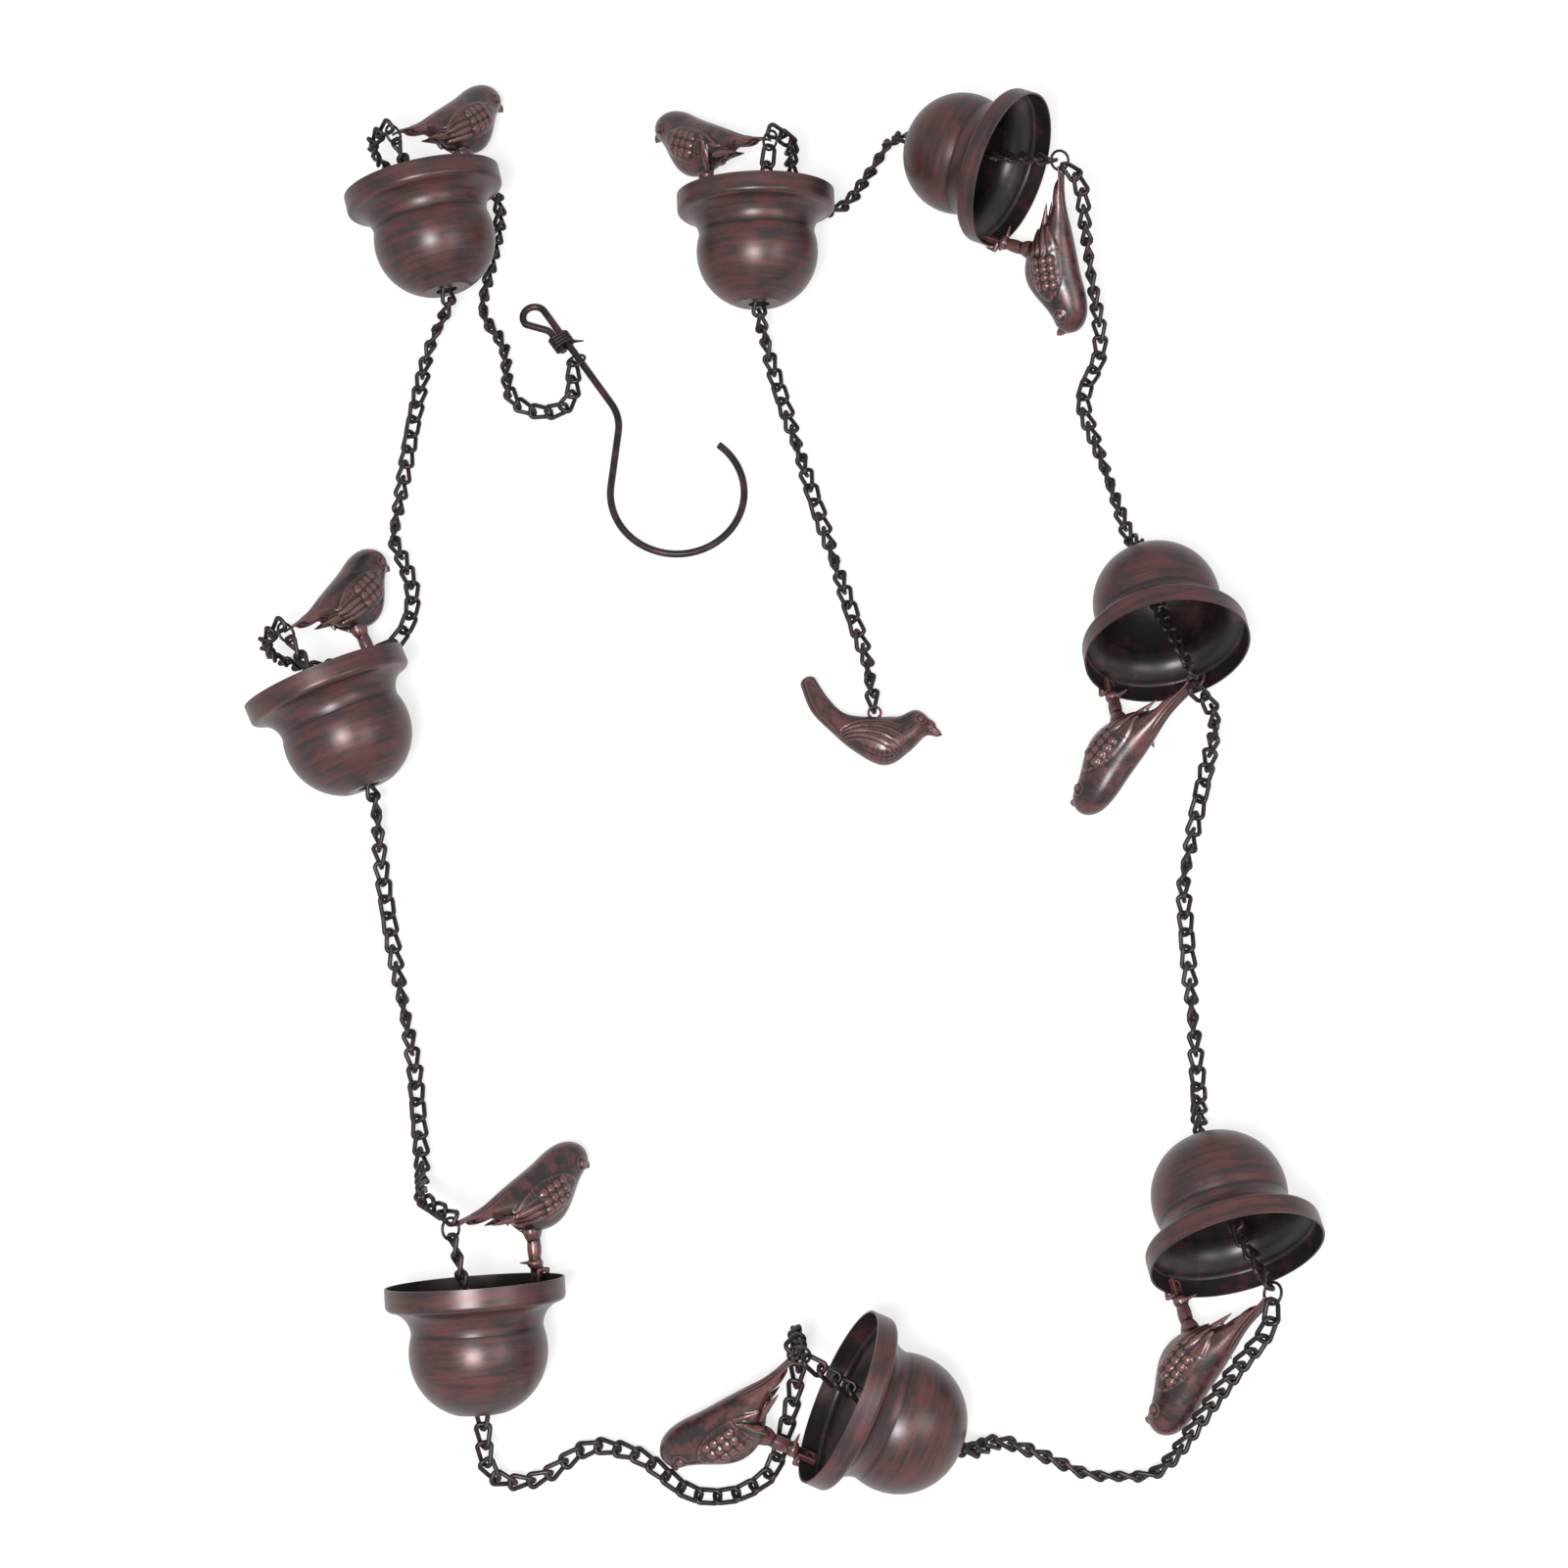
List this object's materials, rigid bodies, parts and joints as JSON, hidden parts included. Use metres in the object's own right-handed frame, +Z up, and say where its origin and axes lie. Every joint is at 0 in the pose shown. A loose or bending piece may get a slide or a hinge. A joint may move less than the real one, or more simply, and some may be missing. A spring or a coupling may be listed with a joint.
{
  "type": "rain chain",
  "caption": "Rain chain laid in a loop: spun bell cups with cast birds perched on their rims, linked by twisted chain from a wire hook to a small pendant bird.",
  "frame": {"origin": "middle of the layout's bounding box, on the floor", "axes": "+X to the picture's right, +Y to the picture's top, +Z up from the floor"},
  "size_m": [0.5477, 0.803, 0.0873],
  "materials": {
    "cup_bronze": "rubbed dark bronze, satin",
    "bird_bronze": "rubbed dark bronze with dark grooves",
    "chain_metal": "near-black, satin",
    "hook_wire": "dark bronze, satin",
    "small_wire": "dark bronze, satin"
  },
  "bodies": {
    "root": {"cup_1": "cup_bronze", "cup_2": "cup_bronze", "cup_3": "cup_bronze", "cup_4": "cup_bronze", "cup_5": "cup_bronze", "cup_6": "cup_bronze", "cup_7": "cup_bronze", "cup_8": "cup_bronze", "bird_1": "bird_bronze", "bird_2": "bird_bronze", "bird_3": "bird_bronze", "bird_4": "bird_bronze", "bird_5": "bird_bronze", "bird_6": "bird_bronze", "bird_7": "bird_bronze", "bird_8": "bird_bronze", "tail_ring_1": "small_wire", "tail_ring_2": "small_wire", "tail_ring_3": "small_wire", "tail_ring_4": "small_wire", "tail_ring_5": "small_wire", "tail_ring_6": "small_wire", "tail_ring_7": "small_wire", "tail_ring_8": "small_wire", "foot_rivet_1": "small_wire", "foot_rivet_2": "small_wire", "foot_rivet_3": "small_wire", "foot_rivet_4": "small_wire", "foot_rivet_5": "small_wire", "foot_rivet_6": "small_wire", "foot_rivet_7": "small_wire", "foot_rivet_8": "small_wire", "chain_run_0": "chain_metal", "chain_run_1": "chain_metal", "chain_run_2": "chain_metal", "chain_run_3": "chain_metal", "chain_run_4": "chain_metal", "chain_run_5": "chain_metal", "chain_run_6": "chain_metal", "chain_run_7": "chain_metal", "chain_run_8": "chain_metal", "hanging_hook": "hook_wire", "tie_wire_wrap": "small_wire", "hook_ring": "small_wire", "pendant_bird": "bird_bronze"}
  },
  "joints": []
}
